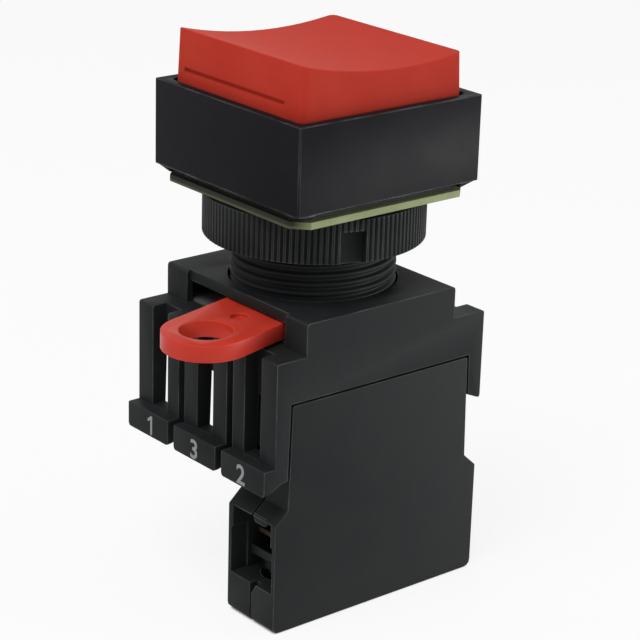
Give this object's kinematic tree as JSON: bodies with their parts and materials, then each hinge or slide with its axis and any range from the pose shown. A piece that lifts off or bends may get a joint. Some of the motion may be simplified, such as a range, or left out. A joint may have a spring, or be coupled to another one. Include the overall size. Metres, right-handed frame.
{
  "type": "pushbutton switch",
  "caption": "Panel pushbutton switch with a square scooped cap, threaded barrel and ring nut, lever-locked mounting adaptor with latch fingers, and a contact block.",
  "frame": {"origin": "on the barrel's axis at the panel's front face, which is the underside of the gasket", "axes": "+Z out of the panel towards the user, -X the side of the lock lever and the numbered tabs, -Y the wide face of the contact block's position"},
  "size_m": [0.0449, 0.03, 0.0742],
  "materials": {
    "red_cap": "satin red moulded plastic",
    "red_lever": "slightly translucent red plastic",
    "black_plastic": "fine matte black moulded plastic",
    "grey_plastic": "matte grey moulded plastic",
    "white_plastic": "matte off-white moulded plastic",
    "olive_rubber": "matte olive sheet rubber",
    "black_rubber": "matte black rubber",
    "spring_steel": "bright spring wire",
    "contact_brass": "stamped brass",
    "plated_steel": "zinc plated steel"
  },
  "bodies": {
    "base": {"operator_body": "black_plastic", "bezel": "black_plastic", "panel_gasket": "olive_rubber", "plunger_seal": "black_rubber", "return_spring": "spring_steel", "mounting_adaptor": "black_plastic", "lever_retainer": "grey_plastic", "contact_cover": "black_plastic", "contact_housing": "black_plastic", "contact_spring": "spring_steel", "fixed_contact_left": "contact_brass", "fixed_contact_right": "contact_brass", "clamp_plate_left": "plated_steel", "clamp_plate_right": "plated_steel"},
    "button": {"push_cap": "red_cap", "plunger": "white_plastic", "plunger_clip": "spring_steel"},
    "nut": {"ring_nut": "black_plastic"},
    "lever": {"lock_lever": "red_lever"},
    "pusher": {"pusher_plate": "white_plastic"},
    "slider": {"contact_slider": "white_plastic", "pressure_spring": "spring_steel"},
    "bridge": {"bridge_contact": "contact_brass"},
    "left_screw": {"terminal_screw_left": "plated_steel"},
    "right_screw": {"terminal_screw_right": "plated_steel"}
  },
  "joints": [
    {"name": "push_slide", "type": "slide", "parent": "base", "child": "button", "axis": [0, 0, -1], "range_m": [0, 0.0032], "stiffness_N_per_m": 600, "springref_m": -0.006, "deforming": ["return_spring"]},
    {"name": "pusher_slide", "type": "slide", "parent": "base", "child": "pusher", "axis": [0, 0, -1], "range_m": [0, 0.0032]},
    {"name": "slider_slide", "type": "slide", "parent": "base", "child": "slider", "axis": [0, 0, -1], "range_m": [0, 0.0032], "deforming": ["contact_spring"]},
    {"name": "bridge_slide", "type": "slide", "parent": "slider", "child": "bridge", "axis": [0, 0, 1], "range_m": [0, 0.00052], "deforming": ["pressure_spring"]},
    {"name": "lever_swing", "type": "hinge", "parent": "base", "child": "lever", "pos_m": [0, 0, 0], "axis": [0, 0, 1], "range_deg": [-28, 0]},
    {"name": "nut_turn", "type": "hinge", "parent": "base", "child": "nut", "pos_m": [0, 0, 0], "axis": [0, 0, 1], "continuous": true},
    {"name": "left_screw_turn", "type": "hinge", "parent": "base", "child": "left_screw", "pos_m": [-0.012, -0.01, -0.046], "axis": [0, 0, 1], "continuous": true},
    {"name": "right_screw_turn", "type": "hinge", "parent": "base", "child": "right_screw", "pos_m": [0.012, -0.01, -0.046], "axis": [0, 0, 1], "continuous": true}
  ],
  "couplings": [
    {"joint": "pusher_slide", "follows": "push_slide", "ratio": 1},
    {"joint": "slider_slide", "follows": "push_slide", "ratio": 1},
    {"joint": "bridge_slide", "follows": "push_slide", "ratio": 0.15625}
  ]
}
